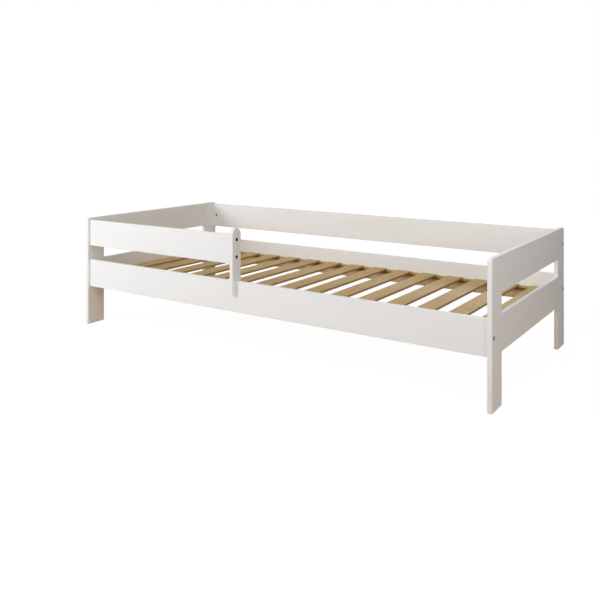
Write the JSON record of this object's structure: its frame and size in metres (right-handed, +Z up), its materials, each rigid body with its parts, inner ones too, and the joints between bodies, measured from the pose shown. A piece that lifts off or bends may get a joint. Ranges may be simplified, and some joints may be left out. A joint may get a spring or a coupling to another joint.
{
  "type": "toddler bed",
  "caption": "Low child's bed with board end frames, back and side rails, a short guard on a straddling post, and a slatted base that lifts out.",
  "frame": {"origin": "on the floor, under the middle of the bed's end frames and side rails", "axes": "+X from the head end, where the guard is, towards the foot end; +Y from the open front towards the back with its upper rail; +Z up"},
  "size_m": [2.036, 0.969, 0.538],
  "materials": {
    "white_lacquered_board": "satin white lacquer",
    "bare_pine": "planed, untreated",
    "yellow_zinc_steel": "zinc plated, yellow passivated",
    "beech": "fluted dowel rod",
    "black_bolt_steel": "black oxide, satin",
    "zinc_plated_steel": "zinc plated",
    "brown_webbing": "woven polypropylene"
  },
  "bodies": {
    "frame": {"head_front_leg": "white_lacquered_board", "head_back_leg": "white_lacquered_board", "head_top_board": "white_lacquered_board", "head_low_board": "white_lacquered_board", "foot_front_leg": "white_lacquered_board", "foot_back_leg": "white_lacquered_board", "foot_top_board": "white_lacquered_board", "foot_low_board": "white_lacquered_board", "front_side_rail": "white_lacquered_board", "back_side_rail": "white_lacquered_board", "back_upper_rail": "white_lacquered_board", "guard_board": "white_lacquered_board", "guard_post": "white_lacquered_board", "front_ledger": "bare_pine", "back_ledger": "bare_pine", "front_bearer": "bare_pine", "back_bearer": "bare_pine", "frame_dowels": "beech", "rail_dowels": "beech", "connector_bolts": "black_bolt_steel", "barrel_nuts": "black_bolt_steel", "ledger_screws": "yellow_zinc_steel"},
    "slat_base": {"slat_01": "bare_pine", "slat_02": "bare_pine", "slat_03": "bare_pine", "slat_04": "bare_pine", "slat_05": "bare_pine", "slat_06": "bare_pine", "slat_07": "bare_pine", "slat_08": "bare_pine", "slat_09": "bare_pine", "slat_10": "bare_pine", "slat_11": "bare_pine", "slat_12": "bare_pine", "slat_13": "bare_pine", "slat_14": "bare_pine", "slat_15": "bare_pine", "front_strap": "brown_webbing", "back_strap": "brown_webbing", "strap_tacks": "zinc_plated_steel"}
  },
  "joints": [
    {"name": "slat_base_lift", "type": "slide", "parent": "frame", "child": "slat_base", "axis": [0, 0, 1], "range_m": [0, 0.31]}
  ]
}
